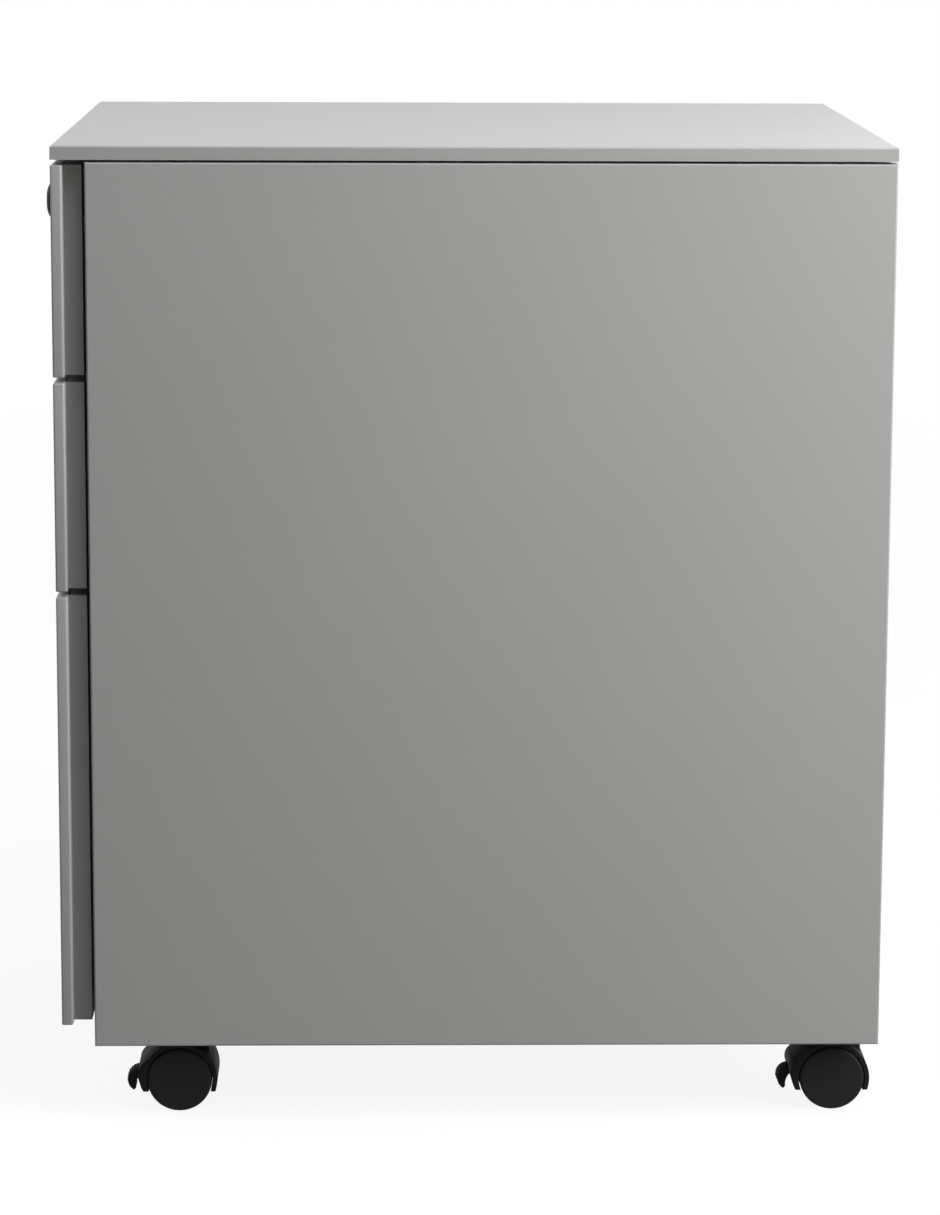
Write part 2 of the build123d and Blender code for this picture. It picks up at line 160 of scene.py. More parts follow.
class NodeBook:
    """Writes nodes into one tree."""

    def __init__(self, tree: bpy.types.NodeTree) -> None:
        """Starts on a tree, which keeps the nodes that it has."""
        self.tree = tree

    @classmethod
    def blank(cls, owner: bpy.types.Material | bpy.types.World) -> "NodeBook":
        """Starts on the emptied tree of a material or world.

        Args:
            owner: what the tree belongs to.

        Returns:
            The book.
        """
        owner.use_nodes = True
        owner.node_tree.nodes.clear()
        return cls(owner.node_tree)

    def node(self, kind: str, settings: Mapping[str, Any] | None = None,
             inputs: Mapping[Any, Any] | None = None) -> Node:
        """Adds a node of any type.

        Args:
            kind: the node's type.
            settings: its properties, which are set first.
            inputs: its sockets by identifier, name or number, with a value or what is linked there.

        Returns:
            The node.
        """
        node = self.tree.nodes.new(kind)
        for name, setting in (settings or {}).items():
            setattr(node, name, setting)
        for key, plug in (inputs or {}).items():
            for one in plug if isinstance(plug, list) else [plug]:
                self._plug(self._socket(node.inputs, key), one)
        return node

    @staticmethod
    def _socket(sockets: Any, key: Any) -> Socket:
        """Finds a socket.

        Args:
            sockets: a node's inputs or outputs.
            key: the socket's number, identifier or name.

        Returns:
            The socket.
        """
        if isinstance(key, int):
            return sockets[key]
        return next((s for s in sockets if s.identifier == key), None) or sockets[key]

    def _plug(self, socket: Socket, plug: Any) -> None:
        """Fills an input.

        Args:
            socket: the input.
            plug: a value or socket to link, a node whose first output is linked, or a plain value to set.
        """
        if isinstance(plug, Node):
            plug = plug.outputs[0]
        elif isinstance(plug, Value):
            plug = plug.socket
        if isinstance(plug, Socket):
            self.tree.links.new(plug, socket)
        else:
            socket.default_value = plug

    def out(self, node: Node, key: Any = 0) -> Value:
        """One output of a node as a value."""
        return Value(self, self._socket(node.outputs, key))

    def place(self, stretch: Triple | None = None) -> Socket:
        """Object coordinates.

        Args:
            stretch: how much faster a pattern runs along each axis, or None for no change.

        Returns:
            The vector socket.
        """
        socket = self.node("ShaderNodeTexCoord").outputs["Object"]
        if stretch is None:
            return socket
        return self.node("ShaderNodeMapping", {}, {"Vector": socket, "Scale": stretch}).outputs["Vector"]

    def noise(self, place: Socket, size: float, detail: float = 2.0, rough: float = 0.5) -> Value:
        """Cloudy noise from 0 to 1, with lumps of size metres and detail finer layers of strength rough."""
        return self.out(self.node("ShaderNodeTexNoise", {}, {
            "Vector": place, "Scale": 1 / size, "Detail": detail, "Roughness": rough}))

    def cells(self, place: Socket, size: float) -> Value:
        """A random shade for each cell of a crystal-like pattern, whose cells are size metres wide."""
        node = self.node("ShaderNodeTexVoronoi", {}, {"Vector": place, "Scale": 1 / size})
        return self.out(self.node("ShaderNodeSeparateColor", {}, {"Color": node.outputs["Color"]}))

    def tint(self, factor: Value, first: Triple, second: Triple) -> Socket:
        """A colour between two.

        Args:
            factor: 0 for the first colour, 1 for the second.
            first: a linear colour.
            second: a linear colour.

        Returns:
            The colour socket.
        """
        node = self.node("ShaderNodeMix", {"data_type": "RGBA"}, {
            "Factor_Float": factor, "A_Color": (*first, 1.0), "B_Color": (*second, 1.0)})
        return self._socket(node.outputs, "Result_Color")

    def bump(self, height: Value, depth: float, strength: float) -> Node:
        """A normal bumped by a height from 0 to depth metres, of which only the strength's share shows."""
        return self.node("ShaderNodeBump", {}, {"Height": height, "Distance": depth, "Strength": strength})


# Finishes


@dataclass(frozen=True)
class Finish:
    """A surface finish; its tones are the darkest and lightest that its colour gets, as shares of it."""

    slot: Slot
    colour: Triple
    roughness: float
    tones: tuple[float, float] = (1.0, 1.0)

    def inputs(self, book: NodeBook) -> dict[str, Any]:
        """Writes the finish into the book and gives what goes into each socket of the shader."""
        raise NotImplementedError

    def toned(self, book: NodeBook, pattern: Value) -> Socket:
        """The colour, from its darkest tone where the pattern is 0 to its lightest where it is 1."""
        dark, light = (tuple(part * tone for part in self.colour) for tone in self.tones)
        return book.tint(pattern, dark, light)

    def worn(self, *swings: tuple[Value, float]) -> Value:
        """The roughness as patterns move it up and down.

        Args:
            swings: patterns from 0 to 1, each with how far it moves the roughness from end to end.

        Returns:
            The roughness, held between 0 and 1.
        """
        moved = self.roughness
        for pattern, swing in swings:
            moved = moved + (pattern - 0.5) * swing
        return moved.clamped()

    def material(self) -> bpy.types.Material:
        """The finish's material, which is made on first use.

        Returns:
            The material.
        """
        name = f"finish_{self.slot.value}"
        made = bpy.data.materials.get(name)
        if made is None:
            made = bpy.data.materials.new(name)
            book = NodeBook.blank(made)
            shader = book.node("ShaderNodeBsdfPrincipled", {}, self.inputs(book))
            book.node("ShaderNodeOutputMaterial", {}, {"Surface": shader})
        return made


@dataclass(frozen=True)
class PowderCoat(Finish):
    """Baked powder paint: an even colour with faint clouds and a fine pebbled skin."""

    tones: tuple[float, float] = (0.95, 1.05)
    cloud: float = 160 * mm
    cloud_share: float = 0.6
    speck: float = 0.6 * mm
    peel: float = 1.1 * mm
    peel_depth: float = 0.05 * mm
    peel_strength: float = 0.35
    touch: float = 45 * mm
    swing: float = 0.05
    gloss: float = 0.4

    def inputs(self, book: NodeBook) -> dict[str, Any]:
        """Clouds and specks of colour over a pebbled skin, a little smoother where hands have been.

        Args:
            book: the material's tree.

        Returns:
            What goes into each socket of the shader.
        """
        place = book.place()
        cloud = book.noise(place, self.cloud, detail=3.0)
        speck = book.noise(place, self.speck, detail=1.0)
        skin = book.noise(place, self.peel, detail=1.5)
        touch = book.noise(place, self.touch, detail=4.0, rough=0.6)
        return {
            "Base Color": self.toned(book, cloud * self.cloud_share + speck * (1 - self.cloud_share)),
            "Roughness": self.worn((touch, self.swing), (skin, self.swing)),
            "Normal": book.bump(skin, self.peel_depth, self.peel_strength),
            "Specular IOR Level": self.gloss,
        }


@dataclass(frozen=True)
class ZincPlate(Finish):
    """Zinc-plated strip: a drawn grain along its length and dull patches of crystal."""

    tones: tuple[float, float] = (0.84, 1.14)
    spangle: float = 7 * mm
    spangle_share: float = 0.3
    spangle_swing: float = 0.12
    grain: float = 0.35 * mm
    grain_stretch: Triple = (1.0, 0.04, 1.0)
    grain_share: float = 0.3
    grain_depth: float = 0.02 * mm
    grain_strength: float = 0.4
    bloom: float = 30 * mm
    bloom_share: float = 0.4
    bloom_swing: float = 0.25

    def inputs(self, book: NodeBook) -> dict[str, Any]:
        """Spangle, drawn grain and a dull bloom.

        Args:
            book: the material's tree.

        Returns:
            What goes into each socket of the shader.
        """
        crystal = book.cells(book.place(), self.spangle)
        drawn = book.noise(book.place(self.grain_stretch), self.grain)
        bloom = book.noise(book.place(), self.bloom, detail=4.0, rough=0.6)
        mixed = crystal * self.spangle_share + drawn * self.grain_share + bloom * self.bloom_share
        return {
            "Base Color": self.toned(book, mixed),
            "Metallic": 1.0,
            "Roughness": self.worn((crystal, self.spangle_swing), (bloom, self.bloom_swing)),
            "Normal": book.bump(drawn, self.grain_depth, self.grain_strength),
        }


@dataclass(frozen=True)
class MouldedBlack(Finish):
    """Black moulded plastic with a fine spark-eroded grain."""

    tones: tuple[float, float] = (0.75, 1.3)
    grain: float = 0.45 * mm
    grain_depth: float = 0.06 * mm
    grain_strength: float = 0.5
    grain_swing: float = 0.2
    flow: float = 12 * mm
    flow_share: float = 0.6
    flow_swing: float = 0.14
    gloss: float = 0.3

    def inputs(self, book: NodeBook) -> dict[str, Any]:
        """Grain, and a slight change of shade where the plastic flowed in the mould.

        Args:
            book: the material's tree.

        Returns:
            What goes into each socket of the shader.
        """
        place = book.place()
        grain = book.noise(place, self.grain, rough=0.6)
        flow = book.noise(place, self.flow, detail=3.0)
        return {
            "Base Color": self.toned(book, flow * self.flow_share + grain * (1 - self.flow_share)),
            "Roughness": self.worn((flow, self.flow_swing), (grain, self.grain_swing)),
            "Normal": book.bump(grain, self.grain_depth, self.grain_strength),
            "Specular IOR Level": self.gloss,
        }


@dataclass(frozen=True)
class RolledBlack(MouldedBlack):
    """A moulded wheel whose tread is scuffed and dusty from the floor."""

    grain_strength: float = 0.4
    grain_swing: float = 0.15
    scuff: float = 3 * mm
    scuff_share: float = 0.4
    dust: Triple = (0.055, 0.053, 0.05)
    dust_gain: float = 1.6
    dust_start: float = 0.35
    dust_dulls: float = 0.3

    def inputs(self, book: NodeBook) -> dict[str, Any]:
        """Moulded plastic, with dust where the mesh's tread attribute is 1.

        Args:
            book: the material's tree.

        Returns:
            What goes into each socket of the shader.
        """
        place = book.place()
        tread = book.out(book.node("ShaderNodeAttribute", {"attribute_name": TREAD}), "Fac")
        grain = book.noise(place, self.grain, rough=0.6)
        scuff = book.noise(place, self.scuff, detail=4.0, rough=0.65)
        dusty = (tread * (scuff * self.dust_gain - self.dust_start)).clamped()
        relief = grain * (1 - self.scuff_share) + scuff * self.scuff_share
        dulled = self.roughness + dusty * self.dust_dulls + (grain - 0.5) * self.grain_swing
        return {
            "Base Color": book.tint(dusty, self.colour, self.dust),
            "Roughness": dulled.clamped(),
            "Normal": book.bump(relief, self.grain_depth, self.grain_strength),
            "Specular IOR Level": self.gloss,
        }


@dataclass(frozen=True)
class PolishedMetal(Finish):
    """Nickel plate, finely scratched by keys."""

    tones: tuple[float, float] = (0.88, 1.1)
    cloud: float = 2.5 * mm
    cloud_swing: float = 0.2
    scratch: float = 0.12 * mm
    scratch_stretch: Triple = (1.0, 1.0, 0.08)
    scratch_swing: float = 0.15
    scratch_depth: float = 0.01 * mm
    scratch_strength: float = 0.3

    def inputs(self, book: NodeBook) -> dict[str, Any]:
        """Fine scratches over a slightly clouded plate.

        Args:
            book: the material's tree.

        Returns:
            What goes into each socket of the shader.
        """
        scratch = book.noise(book.place(self.scratch_stretch), self.scratch)
        cloud = book.noise(book.place(), self.cloud, detail=3.0)
        return {
            "Base Color": self.toned(book, cloud),
            "Metallic": 1.0,
            "Roughness": self.worn((cloud, self.cloud_swing), (scratch, self.scratch_swing)),
            "Normal": book.bump(scratch, self.scratch_depth, self.scratch_strength),
        }


PAINT: Triple = (0.34, 0.34, 0.328)
FINISHES: dict[Slot, Finish] = {finish.slot: finish for finish in (
    PowderCoat(Slot.CASE, PAINT, roughness=0.46),
    PowderCoat(Slot.DRAWER, PAINT, roughness=0.46),
    ZincPlate(Slot.ZINC, (0.55, 0.56, 0.57), roughness=0.36),
    MouldedBlack(Slot.LOCK, (0.012, 0.012, 0.013), roughness=0.5,
                 grain=1.2 * mm, grain_depth=0.01 * mm, gloss=0.12),
    PolishedMetal(Slot.NICKEL, (0.6, 0.6, 0.58), roughness=0.24),
    MouldedBlack(Slot.PLASTIC, (0.025, 0.025, 0.027), roughness=0.55),
    MouldedBlack(Slot.CASTOR, (0.0105, 0.0105, 0.011), roughness=0.62, gloss=0.1),
    RolledBlack(Slot.WHEEL, (0.0145, 0.0145, 0.0145), roughness=0.6, gloss=0.12),
)}


# Meshes

# Points this close, in metres, are one point, and faces turned this little, in degrees, are one flat
SAME_POINT = 1e-6
SAME_FLAT = 0.5
# The angles in degrees past which an edge of a new mesh and of a copied node stays sharp
SHARP_NEW = 35.0
SHARP_COPY = 40.0
# The angle in degrees past which an edge of a node is broken, and the flats of the broken edge
BREAK_PAST = 32.0
BREAK_FLATS = 2
# The flats of a round corner in a turned piece's profile
CORNER_FLATS = 5


def smooth(mesh: Mesh, sharp: float = SHARP_NEW) -> Mesh:
    """Shades a mesh smooth.

    Args:
        mesh: the mesh.
        sharp: the angle in degrees past which an edge stays sharp.

    Returns:
        The same mesh.
    """
    mesh.polygons.foreach_set("use_smooth", [True] * len(mesh.polygons))
    mesh.set_sharp_from_angle(angle=math.radians(sharp))
    return mesh


def as_mesh(work: bmesh.types.BMesh, name: str) -> Mesh:
    """Turns a work mesh into a mesh and frees it.

    Args:
        work: the work mesh.
        name: the name of the mesh.

    Returns:
        The mesh.
    """
    mesh = bpy.data.meshes.new(name)
    work.to_mesh(mesh)
    work.free()
    return mesh


def new_object(name: str, mesh: Mesh) -> Piece:
    """Links an object into the scene.

    Args:
        name: its name.
        mesh: its mesh.

    Returns:
        The object.
    """
    made = bpy.data.objects.new(name, mesh)
    bpy.context.scene.collection.objects.link(made)
    return made


def plain_mesh(carrier: Piece, name: str) -> Mesh:
    """What an object's modifiers make of it.

    Args:
        carrier: an object with modifiers.
        name: the name of the mesh.

    Returns:
        The evaluated mesh, with no modifier behind it.
    """
    graph = bpy.context.evaluated_depsgraph_get()
    made = bpy.data.meshes.new_from_object(carrier.evaluated_get(graph))
    made.name = name
    return made


def lathe(name: str, profile: Sequence[tuple[float, float]], centre: Vector, axis: Axis,
          steps: int, tread: tuple[float, float] | None = None) -> Mesh:
    """Turns a profile about a centre line.

    Args:
        name: the name of the mesh.
        profile: places along the centre line and radii, in metres, from one end to the other.
        centre: the point that the places are measured from.
        axis: the way that the centre line runs.
        steps: how many flats a full turn has.
        tread: the radii between which the tread attribute goes from 0 to 1, or None for no attribute.

    Returns:
        The closed mesh.
    """
    along, first, second = (Vector(way) for way in axis.value)
    work = bmesh.new()
    mark = work.verts.layers.float.new(TREAD) if tread else None
    rings = []
    for place, radius in profile:
        ring = []
        for step in range(steps if radius > 0 else 1):
            angle = 2 * math.pi * step / steps
            out = first * math.cos(angle) + second * math.sin(angle)
            vert = work.verts.new(centre + along * place + out * radius)
            if tread:
                vert[mark] = min(1.0, max(0.0, (radius - tread[0]) / (tread[1] - tread[0])))
            ring.append(vert)
        rings.append(ring)
    for near, far in zip(rings, rings[1:]):
        for step in range(steps):
            after = (step + 1) % steps
            corners = [near[step % len(near)], near[after % len(near)],
                       far[after % len(far)], far[step % len(far)]]
            work.faces.new(list(dict.fromkeys(corners)))
    bmesh.ops.recalc_face_normals(work, faces=work.faces)
    return smooth(as_mesh(work, name))


def rounded(points: Sequence[Triple]) -> list[tuple[float, float]]:
    """Rounds the corners of a profile.

    Args:
        points: its corners, each with the radius that it is rounded to.

    Returns:
        The profile's points.
    """
    made = []
    for index, (x, y, radius) in enumerate(points):
        here = Vector((x, y))
        if radius <= 0 or index in (0, len(points) - 1):
            made.append((x, y))
            continue
        back = (Vector(points[index - 1][:2]) - here).normalized()
        ahead = (Vector(points[index + 1][:2]) - here).normalized()
        half = back.angle(ahead) / 2
        reach = radius / math.tan(half)
        hub = here + (back + ahead).normalized() * radius / math.sin(half)
        start, end = here + back * reach - hub, here + ahead * reach - hub
        for step in range(CORNER_FLATS + 1):
            arm = start.lerp(end, step / CORNER_FLATS).normalized() * radius
            made.append(tuple(hub + arm))
    return made


def place_mesh(name: str, places: Places) -> Mesh:
    """A mesh of loose vertices that each face a way.

    Args:
        name: the name of the mesh.
        places: where each vertex is and the way that it faces.

    Returns:
        The mesh, with the ways in its facing attribute.
    """
    mesh = bpy.data.meshes.new(name)
    mesh.from_pydata([place for place, _ in places], [], [])
    facing = mesh.attributes.new(FACING, "FLOAT_VECTOR", "POINT")
    facing.data.foreach_set("vector", [part for _, way in places for part in way])
    return mesh


def line_mesh(name: str, points: Sequence[Vector]) -> Mesh:
    """A mesh of one open line.

    Args:
        name: the name of the mesh.
        points: the points that the line goes through.

    Returns:
        The mesh.
    """
    mesh = bpy.data.meshes.new(name)
    mesh.from_pydata(points, [(n, n + 1) for n in range(len(points) - 1)], [])
    return mesh


def middles(low: float, high: float, count: int) -> list[float]:
    """The middles of equal shares of a length."""
    return [low + (high - low) * (share + 0.5) / count for share in range(count)]


def merged(node: str) -> bmesh.types.BMesh:
    """Copies a node's mesh, with its doubles merged and its flats made whole.

    Args:
        node: the node.

    Returns:
        The copy as a work mesh.
    """
    work = bmesh.new()
    work.from_mesh(frame["nodes"][node].data)
    bmesh.ops.remove_doubles(work, verts=work.verts, dist=SAME_POINT)
    bmesh.ops.dissolve_limit(work, angle_limit=math.radians(SAME_FLAT), verts=work.verts, edges=work.edges)
    return work


def softened(node: str, width: float) -> Piece:
    """A copy of a node with its sharp edges broken.

    Args:
        node: the node.
        width: how wide the broken edge is, in metres.

    Returns:
        The copy, which isn't a piece yet.
    """
    mesh = as_mesh(merged(node), f"{node}_soft")
    copy = new_object(mesh.name, mesh)
    bevel = copy.modifiers.new("edges", "BEVEL")
    bevel.width, bevel.segments = width, BREAK_FLATS
    bevel.limit_method, bevel.angle_limit = "ANGLE", math.radians(BREAK_PAST)
    made = plain_mesh(copy, mesh.name)
    copy.modifiers.clear()
    copy.data = smooth(made, SHARP_COPY)
    return copy


def as_piece(piece: Piece, body: str, slot: Slot, *nodes: str) -> Piece:
    """Dresses a finished object and parents it to the empty of the body that it rides on.

    Args:
        piece: an object at the origin, with its place in its mesh.
        body: the body that it rides on.
        slot: the slot that it takes its finish from.
        nodes: the nodes that it stands for, if any.

    Returns:
        The piece.
    """
    piece.data.materials.clear()
    piece.data.materials.append(FINISHES[slot].material())
    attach(piece, body)
    if nodes:
        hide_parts(*nodes)
    return piece


def dress(*nodes: str) -> list[Piece]:
    """Gives nodes the finish of their record's slot.

    Args:
        nodes: the nodes.

    Returns:
        Their objects.
    """
    slots = {part["node"]: Slot(part["material_slot"]) for part in frame["record"]["subparts"]}
    dressed = [frame["nodes"][node] for node in nodes]
    for node, piece in zip(nodes, dressed):
        material = FINISHES[slots[node]].material()
        if not piece.material_slots:
            piece.data.materials.append(material)
        for place in piece.material_slots:
            place.material = material
    return dressed


# Geometry Nodes trees


class GeometryTree:
    """A Geometry Nodes tree with named sizes, which a subclass fills in."""

    name = "tree"
    sizes: tuple[str, ...] = ()

    def __init__(self) -> None:
        """Opens the tree and fills it."""
        self.tree = bpy.data.node_groups.new(self.name, "GeometryNodeTree")
        self.book = NodeBook(self.tree)
        face = self.tree.interface
        face.new_socket("Places", in_out="INPUT", socket_type="NodeSocketGeometry")
        for size in self.sizes:
            face.new_socket(size, in_out="INPUT", socket_type="NodeSocketFloat")
        face.new_socket("Material", in_out="INPUT", socket_type="NodeSocketMaterial")
        face.new_socket("Made", in_out="OUTPUT", socket_type="NodeSocketGeometry")
        self.enter = self.book.node("NodeGroupInput")
        realised = self.book.node("GeometryNodeRealizeInstances", {}, {"Geometry": self.shape()})
        dressed = self.book.node("GeometryNodeSetMaterial", {}, {
            "Geometry": realised, "Material": self.enter.outputs["Material"]})
        self.book.node("NodeGroupOutput", {}, {"Made": dressed})

    def size(self, name: str) -> Value:
        """One of the tree's sizes."""
        return Value(self.book, self.enter.outputs[name])

    def vector(self, x: Any = 0.0, y: Any = 0.0, z: Any = 0.0) -> Node:
        """A vector from three values."""
        return self.book.node("ShaderNodeCombineXYZ", {}, {"X": x, "Y": y, "Z": z})

    def less(self, whole: Any, cutters: Any) -> Node:
        """A solid with others cut away."""
        return self.book.node("GeometryNodeMeshBoolean", {"operation": "DIFFERENCE", "solver": "EXACT"}, {
            "Mesh 1": whole, "Mesh 2": cutters})

    def shape(self) -> Node:
        """Writes the nodes of the shape and gives the last one, whose instances aren't realised yet."""
        raise NotImplementedError

    def run(self, name: str, places: Mesh, slot: Slot, sizes: Mapping[str, float]) -> Piece:
        """Runs the tree on a mesh of places.

        Args:
            name: the name of the object.
            places: the mesh that the tree starts from.
            slot: the slot whose finish it sets.
            sizes: the tree's sizes by name.

        Returns:
            The object with the result as its plain mesh.
        """
        carrier = new_object(name, places)
        modifier = carrier.modifiers.new(self.name, "NODES")
        modifier.node_group = self.tree
        given = {**sizes, "Material": FINISHES[slot].material()}
        for socket in self.tree.interface.items_tree:
            if socket.in_out == "INPUT" and socket.name in given:
                modifier[socket.identifier] = given[socket.name]
        made = plain_mesh(carrier, name)
        carrier.modifiers.remove(modifier)
        carrier.data = smooth(made)
        return carrier


@dataclass(frozen=True)
class HeadSize:
    """The sizes of a screw's or rivet's head."""

    radius: float
    edge: float
    dome: float
    recess: float = 0.0

    def given(self) -> dict[str, float]:
        """The sizes by the names that the trees give them."""
        return {"Radius": self.radius, "Edge": self.edge, "Dome": self.dome, "Recess": self.recess}


class RivetHeads(GeometryTree):
    """Sets a domed head on every vertex, along its facing attribute."""

    name = "rivet_heads"
    sizes = ("Radius", "Edge", "Dome")
    around = 20
    rings = 4

    def head(self) -> Node:
        """A disc with a straight edge and a domed top, standing on the origin.

        Returns:
            The last node of the head.
        """
        book, radius, edge = self.book, self.size("Radius"), self.size("Edge")
        disc = book.node("GeometryNodeMeshCylinder", {"fill_type": "NGON"}, {
            "Vertices": self.around, "Side Segments": 1, "Fill Segments": self.rings,
            "Radius": radius, "Depth": edge})
        where = book.node("ShaderNodeSeparateXYZ", {}, {"Vector": book.node("GeometryNodeInputPosition")})
        x, y, z = (book.out(where, way) for way in "XYZ")
        crown = (1 - (x * x + y * y) / (radius * radius)) * self.size("Dome") * (z > 0.0) + edge * 0.5
        return book.node("GeometryNodeSetPosition", {}, {"Geometry": disc, "Offset": self.vector(z=crown)})

    def spread(self, head: Node) -> Node:
        """Sets a head on each place.

        Args:
            head: the head's last node, with the head standing on the origin.

        Returns:
            The node of the instances.
        """
        facing = self.book.node(
            "GeometryNodeInputNamedAttribute", {"data_type": "FLOAT_VECTOR"}, {"Name": FACING})
        turned = self.book.node("FunctionNodeAlignRotationToVector", {"axis": "Z"}, {"Vector": facing})
        return self.book.node("GeometryNodeInstanceOnPoints", {}, {
            "Points": self.enter.outputs["Places"], "Instance": head, "Rotation": turned})

    def shape(self) -> Node:
        """A plain head on each place."""
        return self.spread(self.head())

    def fix(self, name: str, places: Places, size: HeadSize, body: str) -> Piece:
        """Plated heads of one size on the places, as one named piece that rides on a body."""
        heads = self.run(name, place_mesh(name, places), Slot.ZINC, size.given())
        return as_piece(heads, body, Slot.ZINC)


class PanHeads(RivetHeads):
    """Sets a domed screw head with a cross recess on every vertex, along its facing attribute."""

    name = "pan_heads"
    sizes = ("Radius", "Edge", "Dome", "Recess")
    bar_long = 1.1
    bar_wide = 0.26

    def shape(self) -> Node:
        """A head less two crossed bars on each place.

        Returns:
            The node of the instances.
        """
        long, wide = (self.size("Radius") * share for share in (self.bar_long, self.bar_wide))
        top = self.vector(z=self.size("Edge") + self.size("Dome"))
        bars = []
        for span in ((long, wide), (wide, long)):
            size = self.vector(*span, self.size("Recess"))
            bar = self.book.node("GeometryNodeMeshCube", {}, {"Size": size})
            bars.append(self.book.node("GeometryNodeTransform", {}, {"Geometry": bar, "Translation": top}))
        return self.spread(self.less(self.head(), bars))


class PunchedHoles(GeometryTree):
    """Punches round-ended holes through the strips that it is run on, at even steps along them."""

    name = "punched_holes"
    sizes = ("Count", "Start", "Pitch", "Level", "Long", "High", "Reach")
    # A hair under half the height, so that the flats between two round ends never shrink to nothing
    end_round = 0.499
    end_flats = 5

    def shape(self) -> Node:
        """The strips less a row of bars that cross them.

        Returns:
            The node of the punched strips.
        """
        book, high, reach = self.book, self.size("High"), self.size("Reach")
        row = book.node("GeometryNodeMeshLine", {"mode": "OFFSET"}, {
            "Count": self.size("Count"), "Offset": self.vector(y=self.size("Pitch")),
            "Start Location": self.vector(y=self.size("Start"), z=self.size("Level"))})
        outline = book.node("GeometryNodeCurvePrimitiveQuadrilateral", {"mode": "RECTANGLE"}, {
            "Width": self.size("Long"), "Height": high})
        ends = book.node("GeometryNodeFilletCurve", {"mode": "POLY"}, {
            "Curve": outline, "Radius": high * self.end_round, "Count": self.end_flats,
            "Limit Radius": True})
        across = book.node("GeometryNodeCurvePrimitiveLine", {}, {
            "Start": self.vector(x=0 - reach), "End": self.vector(x=reach)})
        bar = book.node("GeometryNodeCurveToMesh", {}, {
            "Curve": across, "Profile Curve": ends, "Fill Caps": True})
        bars = book.node("GeometryNodeInstanceOnPoints", {}, {"Points": row, "Instance": bar})
        whole = book.node("GeometryNodeRealizeInstances", {}, {"Geometry": bars})
        return self.less(self.enter.outputs["Places"], whole)


class GripRibs(GeometryTree):
    """Lays round ribs across a lever, at even steps along the edge that the places give."""

    name = "grip_ribs"
    sizes = ("Length", "Radius", "Pitch")
    around = 10

    def shape(self) -> Node:
        """A bar across the lever at each step along the edge.

        Returns:
            The node of the instances.
        """
        book = self.book
        line = book.node("GeometryNodeMeshToCurve", {}, {"Mesh": self.enter.outputs["Places"]})
        stepped = book.node("GeometryNodeResampleCurve", {"mode": "LENGTH"}, {
            "Curve": line, "Length": self.size("Pitch")})
        bar = book.node("GeometryNodeMeshCylinder", {"fill_type": "NGON"}, {
            "Vertices": self.around, "Side Segments": 1, "Fill Segments": 1,
            "Radius": self.size("Radius"), "Depth": self.size("Length")})
        laid = book.node("GeometryNodeTransform", {}, {"Geometry": bar, "Rotation": (0.0, math.pi / 2, 0.0)})
        return book.node("GeometryNodeInstanceOnPoints", {}, {"Points": stepped, "Instance": laid})


@dataclass
class Trees:
    """The Geometry Nodes trees that the sub-assemblies share."""

    heads: PanHeads
    rivets: RivetHeads
    holes: PunchedHoles
    ribs: GripRibs


# Sub-assemblies


class SubAssembly:
    """Pieces that are made and dressed together."""

    def build(self) -> list[Piece]:
        """Makes and dresses the pieces, and gives the dressed nodes and the new pieces in order."""
        raise NotImplementedError


@dataclass
class CabinetBody(SubAssembly):
    """The fixed case: panels, posts, rails and the outer slides."""

    trees: Trees
    screw: HeadSize = HeadSize(radius=3.6 * mm, edge=0.15 * mm, dome=0.25 * mm, recess=0.6 * mm)
    screw_inset: float = 6 * mm
    screw_margin: float = 28 * mm
    screw_rows: int = 4

    nodes = ("side_panel_left", "side_panel_right", "back_panel", "base_pan", "top_panel", "top_front_rail",
             "top_rear_rail", "posts", "top_pads", "lock_guides", "castor_stems",
             "slide_outer_upper", "slide_outer_middle", "slide_outer_lower")

    def back_screws(self) -> Piece:
        """Screw heads down both edges of the back, which hold the back panel behind the sides' returns.

        Returns:
            The piece.
        """
        places = []
        for side, inward in (("side_panel_left", 1), ("side_panel_right", -1)):
            low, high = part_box(side)
            x = (low.x if inward > 0 else high.x) + inward * self.screw_inset
            for row in range(self.screw_rows):
                share = row / (self.screw_rows - 1)
                z = low.z + self.screw_margin + share * (high.z - low.z - 2 * self.screw_margin)
                places.append((Vector((x, high.y, z)), Vector((0, 1, 0))))
        return self.trees.heads.fix("back_screws", places, self.screw, "cabinet")

    def build(self) -> list[Piece]:
        """Dresses the case and adds its screws."""
        return [*dress(*self.nodes), self.back_screws()]


